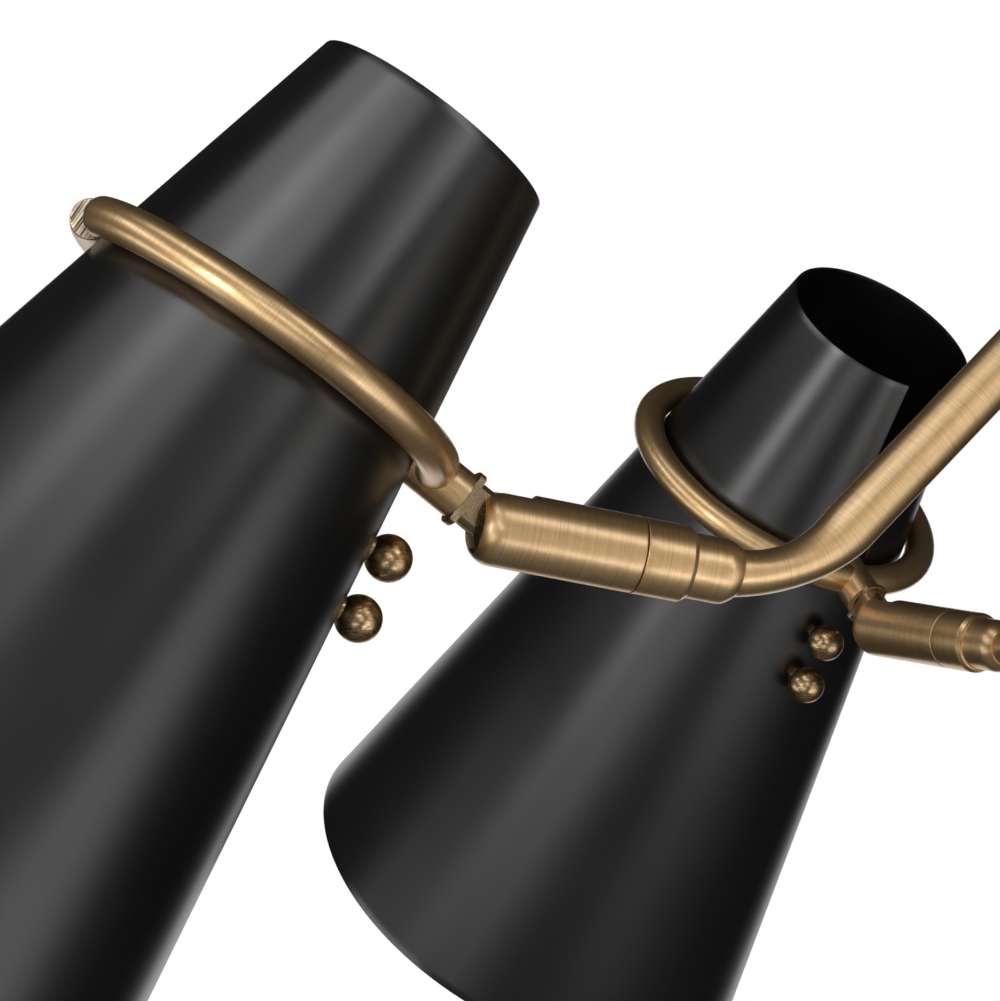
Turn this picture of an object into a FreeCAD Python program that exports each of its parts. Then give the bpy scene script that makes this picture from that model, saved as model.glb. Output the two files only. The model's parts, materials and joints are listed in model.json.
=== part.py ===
import FreeCAD, Part
import math
import os

# Chandelier with five spot lamps on bent arms. Millimetres, +Z up.
# The origin is on the ceiling, in the middle of the canopy.

# The whole light
lamp_count = 5
first_azimuth = 180.0         # direction of lamp 1 seen from above, degrees
pivot_circle_radius = 323.2   # the tilt pivots stand on this circle
barrel_slope = 9.1            # each barrel points outwards and up, degrees
arm_slope = 45.0              # the straight of each arm rises inwards, degrees
downrod_visible = 280.0       # from the canopy down to the coupling
rest_tilts = [36.2, 44.7, 40.0, 40.0, 40.0]   # shade axis off upright, top inwards
rest_swivels = [7.3, -3.5, 0.0, 0.0, 0.0]     # barrel turned about its own axis
swivel_travel = 150.0         # each way from neutral, degrees

# Barrel with its fork, which turns in the swivel base
barrel_diameter = 19.1
barrel_front = 7.6            # from the pivot out to the rounded end
barrel_back = 35.0            # from the pivot in to the seam
nose_radius = 6.0
fork_slot_width = 8.3
fork_slot_reach = 7.5         # the slot runs this far behind the pivot
spigot_diameter = 11.0
spigot_length = 14.6
groove_depth = 1.2
groove_run_out = 1.0          # the groove goes this far past each stop, degrees
wire_bore = 5.0
edge_break = 0.4

# Swivel base at the end of the arm
seam_gap = 0.3
collar_length = 13.3
collar_chamfer_long = 1.3
collar_chamfer_deep = 0.8
sleeve_diameter = 16.4
sleeve_length = 8.9
shoulder_length = 4.0
shoulder_turn_in = 1.3        # its rounded start
shoulder_drop = 0.45
shoulder_lip = 0.3            # left round the arm at the mouth
stop_screw_diameter = 3.0
stop_screw_from_seam = 6.8

# Arm tube
arm_diameter = 14.1
arm_end_diameter = 12.8       # drawn down where it enters the base
arm_bore = 9.0
arm_socket_depth = 11.0
bend_radius = 39.8
bend_before_mouth = 4.9       # the bend starts inside the base
bend_flattening = 1.15        # taken off the radius in the bend's plane
bend_widening = 0.3
bend_sections = 5

# Hinge pin and tang
pin_diameter = 4.0
pin_tip = 7.0                 # the blind end, towards the plain cheek
pin_recess = 0.4
tang_diameter = 11.7
tang_flange_diameter = 15.2
tang_flange_start = 10.9      # from the pivot
tang_flange_length = 1.8
tang_stub_diameter = 8.6
tang_stub_length = 5.0
wire_slit = 2.4
driver_slot_width = 0.7       # in the ends of pin and stop screw
driver_slot_depth = 0.8

# Shade: a plain cone, open at both ends
shade_radius = 45.1           # at the ring
shade_cone_angle = 10.9       # half angle, degrees
shade_above_ring = 65.9
shade_below_ring = 191.0
shade_wall = 1.0
shade_stand_off = 28.9        # shade at the ring from the tilt pivot

# Ring round the shade, brazed to the neck
ring_rod_diameter = 10.0
ring_droop = 2.0              # the open side hangs lower, degrees
ring_lift = 0.6               # at the neck
ring_open_angle = 9.0         # each side of the gap's middle, degrees
neck_diameter = 12.6
neck_bore = 8.7

# Ball-headed screws that clamp the shade to the bracket inside it
ball_diameter = 11.9
ball_drops = [24.1, 40.1]     # below the ring, down the shade axis
ball_stand_off = 0.55         # ball to shade wall
ball_neck_diameter = 6.4
screw_diameter = 4.0
screw_end = 1.4               # screw past the bracket

# Bracket strap and lampholder
bracket_width = 14.0
bracket_thickness = 2.5
bracket_top = 12.0            # above the ring, the strap bends inwards here
bracket_bottom = 48.0         # below the ring
eye_diameter = 24.0
nipple_diameter = 10.0
holder_diameter = 38.0
holder_cap_diameter = 33.0
holder_length = 62.0
holder_cap_length = 24.8
holder_cap_rounding = 7.0
holder_edge_rounding = 1.5
nipple_rise = 3.0             # nipple past the bracket, towards the shade's top
socket_bore_diameter = 26.6
socket_depth = 27.0

# Hub, its cap and the ferrules
hub_diameter = 64.0
hub_wall = 3.0
hub_opening_diameter = 24.0
cap_flange_diameter = 30.0
cap_flange_drop = 1.5         # below the hub's lowest point
cap_edge = 1.0
cap_plug_rise = 1.0           # plug above the hub's wall
finial_diameter = 14.0
finial_neck_diameter = 6.0
finial_neck_length = 4.0
ferrule_wall = 2.13
ferrule_length = 9.0
ferrule_bead = 1.6
ferrule_bead_step = 0.4
arm_inset = 2.5               # arm end past the hub's inner wall

# Downrod, canopy and crossbar
downrod_diameter = 12.7
downrod_bore = 9.6
coupling_diameter = 21.0
coupling_height = 20.0
coupling_socket_depth = 13.0
coupling_bead = 2.0
coupling_nipple_length = 4.0  # inside the hub
canopy_diameter = 130.0
canopy_depth = 25.0
canopy_wall = 1.2
canopy_rounding = 14.0
canopy_screw_spacing = 46.0
crossbar_length = 108.0
crossbar_width = 20.0
crossbar_thickness = 2.5
crossbar_boss_diameter = 20.0
crossbar_boss_depth = 12.0
box_slot_spacing = 79.4       # middle of each slot, takes boxes of 70 to 89 mm
box_slot_travel = 19.0
box_slot_width = 4.8

# Fits and clearances
running_clearance = 0.06      # radial, round pieces that turn
seat_clearance = 0.02         # radial or flat, pieces fixed to each other
fork_floor_clearance = 0.3
groove_clearance = 0.2
ring_clearance = 0.06
slot_clearance = 0.3          # neck to each side of the shade's slot
hole_clearance = 0.2          # screw to the shade's holes
overshoot = 1.0               # cutters run this far past what they cut

origin = FreeCAD.Vector(0, 0, 0)
x_axis = FreeCAD.Vector(1, 0, 0)
y_axis = FreeCAD.Vector(0, 1, 0)
z_axis = FreeCAD.Vector(0, 0, 1)


def sin(degrees):
    return math.sin(math.radians(degrees))


def cos(degrees):
    return math.cos(math.radians(degrees))


def tan(degrees):
    return math.tan(math.radians(degrees))


# Sizes that follow from the ones above
base_mouth = barrel_back + seam_gap + collar_length + sleeve_length + shoulder_length
bend_start = base_mouth - bend_before_mouth
bend_angle = barrel_slope + arm_slope
mouth_angle = math.degrees(math.asin(bend_before_mouth / bend_radius))
wall_across = shade_wall / cos(shade_cone_angle)
shade_offset = shade_radius + shade_stand_off
hub_radius = hub_diameter / 2
hub_height = -(canopy_depth + downrod_visible + coupling_height + hub_radius)


def outline(points):
    # A pair ends a straight run. Two pairs are the middle and the end of an arc.
    here = FreeCAD.Vector(points[0][0], 0, points[0][1])
    first = here
    edges = []
    for step in points[1:]:
        if isinstance(step[0], tuple):
            middle = FreeCAD.Vector(step[0][0], 0, step[0][1])
            end = FreeCAD.Vector(step[1][0], 0, step[1][1])
            edges.append(Part.Arc(here, middle, end).toShape())
        else:
            end = FreeCAD.Vector(step[0], 0, step[1])
            edges.append(Part.LineSegment(here, end).toShape())
        here = end
    edges.append(Part.LineSegment(here, first).toShape())
    return Part.Face(Part.Wire(edges))


def turned_along_x(points):
    # points are (along, radius)
    return outline(points).revolve(origin, x_axis, 360)


def turned_upright(points):
    # points are (radius, height)
    return outline(points).revolve(origin, z_axis, 360)


def quarter(centre_along, centre_across, radius, degrees):
    # A point on an arc, for the middle of a rounded corner.
    return (centre_along + radius * cos(degrees), centre_across + radius * sin(degrees))


def rod(start, direction, length, radius):
    return Part.makeCylinder(radius, length, start, direction)


def block(low, high):
    size = high - low
    return Part.makeBox(size.x, size.y, size.z, low)


# Places


def bend_point(angle):
    # The arm's centre line in its bend, in the frame of a lamp whose pivot is the origin.
    inwards = FreeCAD.Vector(-cos(barrel_slope), 0, -sin(barrel_slope))
    upwards = FreeCAD.Vector(-sin(barrel_slope), 0, cos(barrel_slope))
    centre = inwards * bend_start + upwards * bend_radius
    point = centre + (inwards * sin(angle) - upwards * cos(angle)) * bend_radius
    direction = inwards * cos(angle) + upwards * sin(angle)
    return point, direction


def pivot_height():
    # The arms' centre lines meet in the middle of the hub.
    end, _ = bend_point(bend_angle)
    hub_above_pivots = end.z + (pivot_circle_radius + end.x) * tan(arm_slope)
    return hub_height - hub_above_pivots


def azimuth(lamp):
    return first_azimuth - lamp * 360.0 / lamp_count


def place_pivot(shape, lamp):
    # From a lamp's own upright frame, pivot at the origin and X outwards, to the whole.
    shape.translate(FreeCAD.Vector(pivot_circle_radius, 0, pivot_height()))
    shape.rotate(origin, z_axis, azimuth(lamp))
    return shape


def place_base(shape, lamp):
    # From the barrel's frame, X outwards along the barrel.
    shape.rotate(origin, y_axis, -barrel_slope)
    return place_pivot(shape, lamp)


def place_barrel(shape, lamp):
    shape.rotate(origin, -x_axis, rest_swivels[lamp])
    return place_base(shape, lamp)


def place_head(shape, lamp):
    # From the head's frame, X outwards along the neck and Z up the shade axis.
    shape.rotate(origin, y_axis, barrel_slope - rest_tilts[lamp])
    return place_barrel(shape, lamp)


# Arm, swivel base and stop screw


def arm_oval(angle, extra):
    # Half widths of the tube, which swells from its drawn end to full size, flattened in the bend.
    share = angle / bend_angle
    eased = share * share * (3 - 2 * share)
    radius = (arm_end_diameter + (arm_diameter - arm_end_diameter) * eased) / 2 + extra
    bulge = math.sin(math.pi * share)
    return radius - bend_flattening * bulge, radius + bend_widening * bulge


def oval_wire(in_plane, sideways, point, direction):
    # Both kinds of curve start on the Y side, so that a loft through them isn't twisted.
    if math.isclose(in_plane, sideways):
        oval = Part.Circle(origin, z_axis, in_plane)
        oval.rotate(FreeCAD.Placement(origin, z_axis, 90))
    else:
        oval = Part.Ellipse(FreeCAD.Vector(0, sideways, 0), FreeCAD.Vector(in_plane, 0, 0), origin)
    wire = Part.Wire(oval.toShape())
    wire.Placement = FreeCAD.Placement(point, FreeCAD.Rotation(x_axis, y_axis, direction, "ZYX"))
    return wire


def arm_outside(straight, extra):
    # The drawn end, the bend as a loft through ovals, and the straight up to the hub.
    start, inwards = bend_point(0)
    end, up_inwards = bend_point(bend_angle)
    socket = arm_socket_depth - bend_before_mouth
    outside = rod(start - inwards * socket, inwards, socket, arm_end_diameter / 2 + extra)
    sections = []
    for step in range(bend_sections):
        angle = bend_angle * step / (bend_sections - 1)
        sections.append(oval_wire(*arm_oval(angle, extra), *bend_point(angle)))
    bend = Part.makeLoft(sections, True, False)
    return outside.fuse([bend, rod(end, up_inwards, straight, arm_diameter / 2 + extra)])


def make_arm():
    start, inwards = bend_point(0)
    end, up_inwards = bend_point(bend_angle)
    hub_centre = FreeCAD.Vector(-pivot_circle_radius, 0, hub_height - pivot_height())
    straight = (hub_centre - end).Length - (hub_radius - hub_wall - arm_inset)
    socket_end = start - inwards * (arm_socket_depth - bend_before_mouth)
    bore_path = Part.Wire([
        Part.LineSegment(socket_end, start).toShape(),
        Part.Arc(start, bend_point(bend_angle / 2)[0], end).toShape(),
        Part.LineSegment(end, end + up_inwards * straight).toShape(),
    ])
    bore_section = Part.Wire(Part.Circle(socket_end, inwards, arm_bore / 2).toShape())
    bore = bore_path.makePipeShell([bore_section], True, True)
    return arm_outside(straight, 0).cut(bore)


def make_shoulder(sleeve_end):
    # Rounded in from the sleeve, then down to the arm's own oval.
    in_plane, sideways = arm_oval(mouth_angle, shoulder_lip)
    offset = bend_radius * (1 - cos(mouth_angle))
    radius = sleeve_diameter / 2
    return Part.makeLoft([
        oval_wire(radius, radius, FreeCAD.Vector(sleeve_end, 0, 0), -x_axis),
        oval_wire(radius - shoulder_drop, radius - shoulder_drop,
                  FreeCAD.Vector(sleeve_end - shoulder_turn_in, 0, 0), -x_axis),
        oval_wire(in_plane, sideways, FreeCAD.Vector(-base_mouth, 0, offset), -x_axis),
    ], True, True)


def make_swivel_base():
    # A collar as thick as the barrel, then a sleeve that holds the arm's drawn end.
    radius = barrel_diameter / 2
    seam = -(barrel_back + seam_gap)
    collar_end = seam - collar_length
    sleeve_end = collar_end - sleeve_length
    sleeve = sleeve_diameter / 2
    base = turned_along_x([
        (seam, 0),
        (seam, radius - edge_break),
        (seam - edge_break, radius),
        (collar_end + collar_chamfer_long, radius),
        (collar_end, radius - collar_chamfer_deep),
        (collar_end, sleeve),
        (sleeve_end, sleeve),
        (sleeve_end, 0),
    ]).fuse(make_shoulder(sleeve_end))
    arm_seat = -base_mouth + arm_socket_depth
    spigot_bore = rod(
        FreeCAD.Vector(arm_seat, 0, 0),
        x_axis,
        seam - arm_seat,
        spigot_diameter / 2 + running_clearance,
    )
    arm_space = arm_outside(overshoot, seat_clearance)
    arm_space.rotate(origin, y_axis, barrel_slope)
    arm_end_gap = rod(
        FreeCAD.Vector(arm_seat, 0, 0),
        x_axis,
        seat_clearance,
        arm_end_diameter / 2 + seat_clearance,
    )
    screw_hole = rod(
        FreeCAD.Vector(seam - stop_screw_from_seam, 0, 0),
        z_axis,
        radius + overshoot,
        stop_screw_diameter / 2 + seat_clearance,
    )
    return base.cut([spigot_bore, arm_space, arm_end_gap, screw_hole])


def make_stop_screw():
    # A slotted grub screw whose tip runs in the spigot's groove.
    top = barrel_diameter / 2 - edge_break
    tip = spigot_diameter / 2 - groove_depth + groove_clearance
    centre = -(barrel_back + seam_gap + stop_screw_from_seam)
    radius = stop_screw_diameter / 2
    screw = rod(FreeCAD.Vector(centre, 0, tip), z_axis, top - tip, radius)
    slot = block(
        FreeCAD.Vector(centre - radius, -driver_slot_width / 2, top - driver_slot_depth),
        FreeCAD.Vector(centre + radius, driver_slot_width / 2, top + overshoot),
    )
    return screw.cut(slot)


# Barrel and hinge pin


def make_barrel():
    radius = barrel_diameter / 2
    seam = -barrel_back
    spigot_end = seam - spigot_length
    nose = barrel_front - nose_radius
    barrel = turned_along_x([
        (spigot_end, 0),
        (spigot_end, spigot_diameter / 2),
        (seam, spigot_diameter / 2),
        (seam, radius - edge_break),
        (seam + edge_break, radius),
        (nose, radius),
        (quarter(nose, radius - nose_radius, nose_radius, 45), (barrel_front, radius - nose_radius)),
        (barrel_front, 0),
    ])
    floor = tang_diameter / 2 + fork_floor_clearance
    slot = block(
        FreeCAD.Vector(-fork_slot_reach, -fork_slot_width / 2, -floor),
        FreeCAD.Vector(barrel_front + overshoot, fork_slot_width / 2, radius + overshoot),
    )
    wires = rod(
        FreeCAD.Vector(spigot_end, 0, 0),
        x_axis,
        -fork_slot_reach - spigot_end,
        wire_bore / 2,
    )
    pin_hole = rod(
        FreeCAD.Vector(0, -radius - overshoot, 0),
        y_axis,
        radius + overshoot + pin_tip,
        pin_diameter / 2 + seat_clearance,
    )
    return barrel.cut([slot, wires, pin_hole, make_stop_groove()])


def make_stop_groove():
    # It stops short of a full turn, and its two ends are the swivel's stops.
    centre = -(barrel_back + seam_gap + stop_screw_from_seam)
    half_width = stop_screw_diameter / 2 + groove_clearance
    floor = spigot_diameter / 2 - groove_depth
    outer = spigot_diameter / 2 + overshoot
    # the screw's corners reach furthest round at its tip, nearest the axis
    screw_half_angle = math.degrees(math.asin(stop_screw_diameter / 2 / (floor + groove_clearance)))
    half_turn = swivel_travel + screw_half_angle + groove_run_out
    section = outline([
        (centre - half_width, floor),
        (centre + half_width, floor),
        (centre + half_width, outer),
        (centre - half_width, outer),
    ])
    section.rotate(origin, x_axis, -half_turn)
    return section.revolve(origin, x_axis, 2 * half_turn)


def make_hinge_pin():
    # Pressed in from one cheek, so the other cheek stays plain.
    outer_end = -(barrel_diameter / 2 - pin_recess)
    inner_end = pin_tip - seat_clearance
    radius = pin_diameter / 2
    pin = rod(FreeCAD.Vector(0, outer_end, 0), y_axis, inner_end - outer_end, radius)
    slot = block(
        FreeCAD.Vector(-radius, outer_end - overshoot, -driver_slot_width / 2),
        FreeCAD.Vector(radius, outer_end + driver_slot_depth, driver_slot_width / 2),
    )
    return pin.cut(slot)


# Head: tang, ring with neck, shade, ball screws, bracket and lampholder


def make_tang():
    # A turned stud milled flat on both sides, its end rounded about the pivot.
    radius = tang_diameter / 2
    flange = tang_flange_diameter / 2
    flange_end = tang_flange_start + tang_flange_length
    stub = tang_stub_diameter / 2
    stub_end = flange_end + tang_stub_length
    tang = turned_along_x([
        (-radius, 0),
        (-radius, radius),
        (tang_flange_start, radius),
        (tang_flange_start, flange),
        (flange_end, flange),
        (flange_end, stub),
        (stub_end, stub),
        (stub_end, 0),
    ])
    past = radius + overshoot
    end_waste = block(
        FreeCAD.Vector(-past, -past, -past),
        FreeCAD.Vector(0, past, past),
    ).cut(rod(FreeCAD.Vector(0, -past, 0), y_axis, 2 * past, radius))
    flat = fork_slot_width / 2 - running_clearance
    side_waste = [
        block(
            FreeCAD.Vector(-past, low, -flange - overshoot),
            FreeCAD.Vector(flange_end, low + flange, flange + overshoot),
        )
        for low in (flat, -flat - flange)
    ]
    slit_end = tang_flange_start - overshoot
    slit = block(
        FreeCAD.Vector(-past, -wire_slit / 2, -past),
        FreeCAD.Vector(slit_end, wire_slit / 2, past),
    )
    wires = rod(
        FreeCAD.Vector(slit_end - overshoot, 0, 0),
        x_axis,
        stub_end + 2 * overshoot - slit_end,
        wire_bore / 2,
    )
    pin_hole = rod(
        FreeCAD.Vector(0, -radius, 0),
        y_axis,
        tang_diameter,
        pin_diameter / 2 + running_clearance,
    )
    return tang.cut([end_waste, slit, wires, pin_hole] + side_waste)


def cone_radius(height):
    # Outside radius of the shade at a height from the ring.
    return shade_radius - height * tan(shade_cone_angle)


def ring_radius():
    # The ring's lowest point, opposite the neck, just clears the shade.
    lean = 2 * cos(ring_droop) - 1 - 2 * sin(ring_droop) * tan(shade_cone_angle)
    reach = (ring_rod_diameter / 2 + ring_clearance) / cos(shade_cone_angle)
    return (cone_radius(ring_lift) + reach) / lean


def inside_of_shade(inset):
    # The space inside the shade's wall and a further inset, as a solid cone.
    top = cone_radius(shade_above_ring) - wall_across - inset
    bottom = cone_radius(-shade_below_ring) - wall_across - inset
    height = shade_above_ring + shade_below_ring
    base = FreeCAD.Vector(shade_offset, 0, -shade_below_ring)
    return Part.makeCone(bottom, top, height, base, z_axis)


def make_ring():
    radius = ring_radius()
    rod_radius = ring_rod_diameter / 2
    section = Part.Face(Part.Wire(Part.Circle(
        FreeCAD.Vector(radius, 0, 0), y_axis, rod_radius).toShape()))
    section.rotate(origin, z_axis, ring_open_angle)
    ring = section.revolve(origin, z_axis, 360 - 2 * ring_open_angle)
    ring.rotate(origin, y_axis, ring_droop)
    ring.translate(FreeCAD.Vector(
        shade_offset - radius + radius * cos(ring_droop),
        0,
        ring_lift - radius * sin(ring_droop),
    ))
    neck_start = tang_flange_start + tang_flange_length
    neck = rod(
        FreeCAD.Vector(neck_start, 0, 0),
        x_axis,
        shade_offset - neck_start,
        neck_diameter / 2,
    ).cut(inside_of_shade(0))
    bore = rod(FreeCAD.Vector(neck_start, 0, 0), x_axis, shade_offset, neck_bore / 2)
    return ring.fuse(neck).cut(bore)


def screw_line(drop):
    # Where a ball screw's axis meets the shade's wall, and the way it points outwards.
    foot = FreeCAD.Vector(shade_offset - cone_radius(-drop), 0, -drop)
    outwards = FreeCAD.Vector(-cos(shade_cone_angle), 0, sin(shade_cone_angle))
    return foot, outwards


def make_shade():
    top = cone_radius(shade_above_ring)
    bottom = cone_radius(-shade_below_ring)
    shade = turned_upright([
        (top - wall_across, shade_above_ring),
        (top, shade_above_ring),
        (bottom, -shade_below_ring),
        (bottom - wall_across, -shade_below_ring),
    ])
    shade.translate(FreeCAD.Vector(shade_offset, 0, 0))

    # The slot runs from the top rim down to the neck, so the shade slips past it.
    half_slot = neck_diameter / 2 + slot_clearance
    slot = block(
        FreeCAD.Vector(0, -half_slot, 0),
        FreeCAD.Vector(shade_offset, half_slot, shade_above_ring + overshoot),
    )
    slot_end = rod(origin, x_axis, shade_offset, half_slot)
    holes = []
    for drop in ball_drops:
        foot, outwards = screw_line(drop)
        reach = shade_wall + overshoot
        radius = screw_diameter / 2 + hole_clearance
        holes.append(rod(foot - outwards * reach, outwards, 2 * reach, radius))
    return shade.cut([slot, slot_end] + holes)


def make_ball_screws():
    screws = []
    for drop in ball_drops:
        foot, outwards = screw_line(drop)
        ball_radius = ball_diameter / 2
        ball = Part.makeSphere(ball_radius, foot + outwards * (ball_radius + ball_stand_off))
        inside = shade_wall + seat_clearance + bracket_thickness + screw_end
        shank = rod(foot - outwards * inside, outwards, inside + ball_radius, screw_diameter / 2)
        # the neck's flat face touches the round wall in the middle only
        neck = rod(
            foot + outwards * seat_clearance,
            outwards,
            ball_stand_off + overshoot,
            ball_neck_diameter / 2,
        )
        screws.append(ball.fuse([shank, neck]))
    return Part.makeCompound(screws)


def make_bracket():
    # A strap bent to the inside of the wall, with an arm to the shade axis.
    inner = cone_radius(0) - wall_across
    outside = inside_of_shade(seat_clearance)
    leg = outside.cut(inside_of_shade(seat_clearance + bracket_thickness / cos(shade_cone_angle)))
    leg = leg.common(block(
        FreeCAD.Vector(0, -bracket_width / 2, -bracket_bottom),
        FreeCAD.Vector(shade_offset, bracket_width / 2, bracket_top),
    ))
    arm_low = bracket_top - bracket_thickness
    arm = block(
        FreeCAD.Vector(shade_offset - inner, -bracket_width / 2, arm_low),
        FreeCAD.Vector(shade_offset, bracket_width / 2, bracket_top),
    ).common(outside)
    centre = FreeCAD.Vector(shade_offset, 0, arm_low)
    eye = rod(centre, z_axis, bracket_thickness, eye_diameter / 2)
    thread = rod(centre, z_axis, bracket_thickness, nipple_diameter / 2 + seat_clearance)
    wires = rod(origin, x_axis, shade_offset, wire_bore / 2)
    holes = []
    for drop in ball_drops:
        foot, outwards = screw_line(drop)
        reach = shade_wall + bracket_thickness + 2 * overshoot
        radius = screw_diameter / 2 + seat_clearance
        holes.append(rod(foot - outwards * reach, outwards, reach, radius))
    return leg.fuse([arm, eye]).cut([thread, wires] + holes)


def make_lampholder():
    # Screwed into the bracket's eye by its nipple; the lamp screws in from below.
    top = bracket_top - bracket_thickness
    nipple = nipple_diameter / 2
    cap = holder_cap_diameter / 2
    skirt = holder_diameter / 2
    socket = socket_bore_diameter / 2
    low = top - holder_length
    nipple_top = top + bracket_thickness + nipple_rise
    turn = holder_cap_rounding
    edge = holder_edge_rounding
    cap_end = top - holder_cap_length
    floor = low + socket_depth
    holder = turned_upright([
        (wire_bore / 2, nipple_top),
        (nipple, nipple_top),
        (nipple, top),
        (cap - turn, top),
        (quarter(cap - turn, top - turn, turn, 45), (cap, top - turn)),
        (cap, cap_end),
        (skirt, cap_end - (skirt - cap)),
        (skirt, low + edge),
        (quarter(skirt - edge, low + edge, edge, -45), (skirt - edge, low)),
        (socket, low),
        (socket, floor),
        (wire_bore / 2, floor),
    ])
    holder.translate(FreeCAD.Vector(shade_offset, 0, 0))
    return holder


# Middle of the light, modelled round the hub's centre


def make_hub():
    hub = Part.makeSphere(hub_radius).cut(Part.makeSphere(hub_radius - hub_wall))
    cuts = [
        rod(origin, -z_axis, hub_radius + overshoot, hub_opening_diameter / 2 + seat_clearance),
        rod(origin, z_axis, hub_radius + overshoot, nipple_diameter / 2 + seat_clearance),
    ]
    for lamp in range(lamp_count):
        towards_lamp = arm_direction(lamp)
        cuts.append(rod(origin, towards_lamp, hub_radius + overshoot, arm_diameter / 2 + seat_clearance))
    return hub.cut(cuts)


def arm_direction(lamp):
    angle = azimuth(lamp)
    level = cos(arm_slope)
    return FreeCAD.Vector(level * cos(angle), level * sin(angle), -sin(arm_slope))


def make_ferrules():
    ferrules = []
    inner = arm_diameter / 2 + seat_clearance
    outer = inner + ferrule_wall
    start = math.sqrt(hub_radius ** 2 - outer ** 2)
    end = hub_radius + ferrule_length
    bead = ferrule_bead
    for lamp in range(lamp_count):
        ferrule = turned_along_x([
            (start, inner),
            (start, outer),
            (end - 3 * bead, outer - bead),
            (end - 2 * bead, outer - bead),
            ((end - bead, outer - ferrule_bead_step), (end, outer - bead)),
            (end, inner),
        ])
        ferrule = ferrule.cut(Part.makeSphere(hub_radius + seat_clearance))
        ferrule.rotate(origin, y_axis, arm_slope)
        ferrule.rotate(origin, z_axis, azimuth(lamp))
        ferrules.append(ferrule)
    return Part.makeCompound(ferrules)


def make_hub_cap():
    # It closes the wiring opening under the hub and ends in a ball.
    plug = hub_opening_diameter / 2
    plug_top = -hub_radius + hub_wall + cap_plug_rise
    flange = cap_flange_diameter / 2
    seat = -math.sqrt(hub_radius ** 2 - flange ** 2)
    under = -hub_radius - cap_flange_drop
    ball = finial_diameter / 2
    neck = finial_neck_diameter / 2
    neck_end = under - finial_neck_length
    cap = turned_upright([
        (0, plug_top),
        (plug, plug_top),
        (plug, seat),
        (flange, seat),
        (flange, under + cap_edge),
        (flange - cap_edge, under),
        (neck, under),
        (neck, neck_end),
        (0, neck_end),
    ])
    outside_hub = rod(FreeCAD.Vector(0, 0, seat), -z_axis, hub_radius, flange + overshoot)
    trim = Part.makeSphere(hub_radius + seat_clearance).common(outside_hub)
    trim = trim.cut(rod(origin, -z_axis, hub_radius + overshoot, plug))
    # the ball is let a little way into the neck
    finial = Part.makeSphere(ball, FreeCAD.Vector(0, 0, neck_end - ball + neck / 3))
    return cap.cut(trim).fuse(finial)


def make_coupling():
    # It seats on the hub by its nipple and takes the downrod in its socket.
    outer = coupling_diameter / 2
    nipple = nipple_diameter / 2
    seat = math.sqrt(hub_radius ** 2 - outer ** 2)
    top = hub_radius + coupling_height
    socket = downrod_diameter / 2 + seat_clearance
    socket_floor = top - coupling_socket_depth
    bead = coupling_bead
    nipple_end = hub_radius - hub_wall - coupling_nipple_length
    coupling = turned_upright([
        (wire_bore / 2, nipple_end),
        (nipple, nipple_end),
        (nipple, seat),
        (outer, seat),
        (outer, hub_radius + 2 * bead),
        (outer - bead, hub_radius + 3 * bead),
        (outer - bead, top - bead),
        (outer - 1.5 * bead, top),
        (socket, top),
        (socket, socket_floor),
        (wire_bore / 2, socket_floor),
    ])
    trim = Part.makeSphere(hub_radius + seat_clearance)
    return coupling.cut(trim.cut(rod(origin, z_axis, hub_radius + overshoot, nipple)))


# Top of the light, modelled from the ceiling down


def downrod_ends():
    top = -crossbar_thickness - seat_clearance
    bottom = hub_height + hub_radius + coupling_height - coupling_socket_depth + seat_clearance
    return top, bottom


def make_downrod():
    top, bottom = downrod_ends()
    tube = rod(FreeCAD.Vector(0, 0, bottom), z_axis, top - bottom, downrod_diameter / 2)
    bore = rod(FreeCAD.Vector(0, 0, bottom), z_axis, top - bottom, downrod_bore / 2)
    return tube.cut(bore)


def make_canopy():
    # A spun cup with a flat face and a rounded edge.
    outer = canopy_diameter / 2
    face = -canopy_depth
    turn = canopy_rounding
    inside = turn - canopy_wall
    centre = (outer - turn, face + turn)
    canopy = turned_upright([
        (downrod_diameter / 2 + running_clearance, face),
        (outer - turn, face),
        (quarter(centre[0], centre[1], turn, -45), (outer, face + turn)),
        (outer, 0),
        (outer - canopy_wall, 0),
        (outer - canopy_wall, face + turn),
        (quarter(centre[0], centre[1], inside, -45), (outer - turn, face + canopy_wall)),
        (downrod_diameter / 2 + running_clearance, face + canopy_wall),
    ])
    holes = []
    for side in (-1, 1):
        place = FreeCAD.Vector(side * canopy_screw_spacing / 2, 0, face - overshoot)
        depth = canopy_wall + 2 * overshoot
        holes.append(rod(place, z_axis, depth, screw_diameter / 2 + hole_clearance))
    return canopy.cut(holes)


def make_canopy_screws():
    # Long screws with ball heads, up through the canopy into the crossbar.
    screws = []
    ball = ball_diameter / 2
    for side in (-1, 1):
        place = FreeCAD.Vector(side * canopy_screw_spacing / 2, 0, -canopy_depth)
        head = Part.makeSphere(ball, place - z_axis * (ball + ball_stand_off))
        neck_length = ball_stand_off + overshoot
        neck = rod(place - z_axis * neck_length, z_axis, neck_length, ball_neck_diameter / 2)
        shank = rod(place - z_axis * ball, z_axis, canopy_depth + ball, screw_diameter / 2)
        screws.append(head.fuse([neck, shank]))
    return Part.makeCompound(screws)


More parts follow.
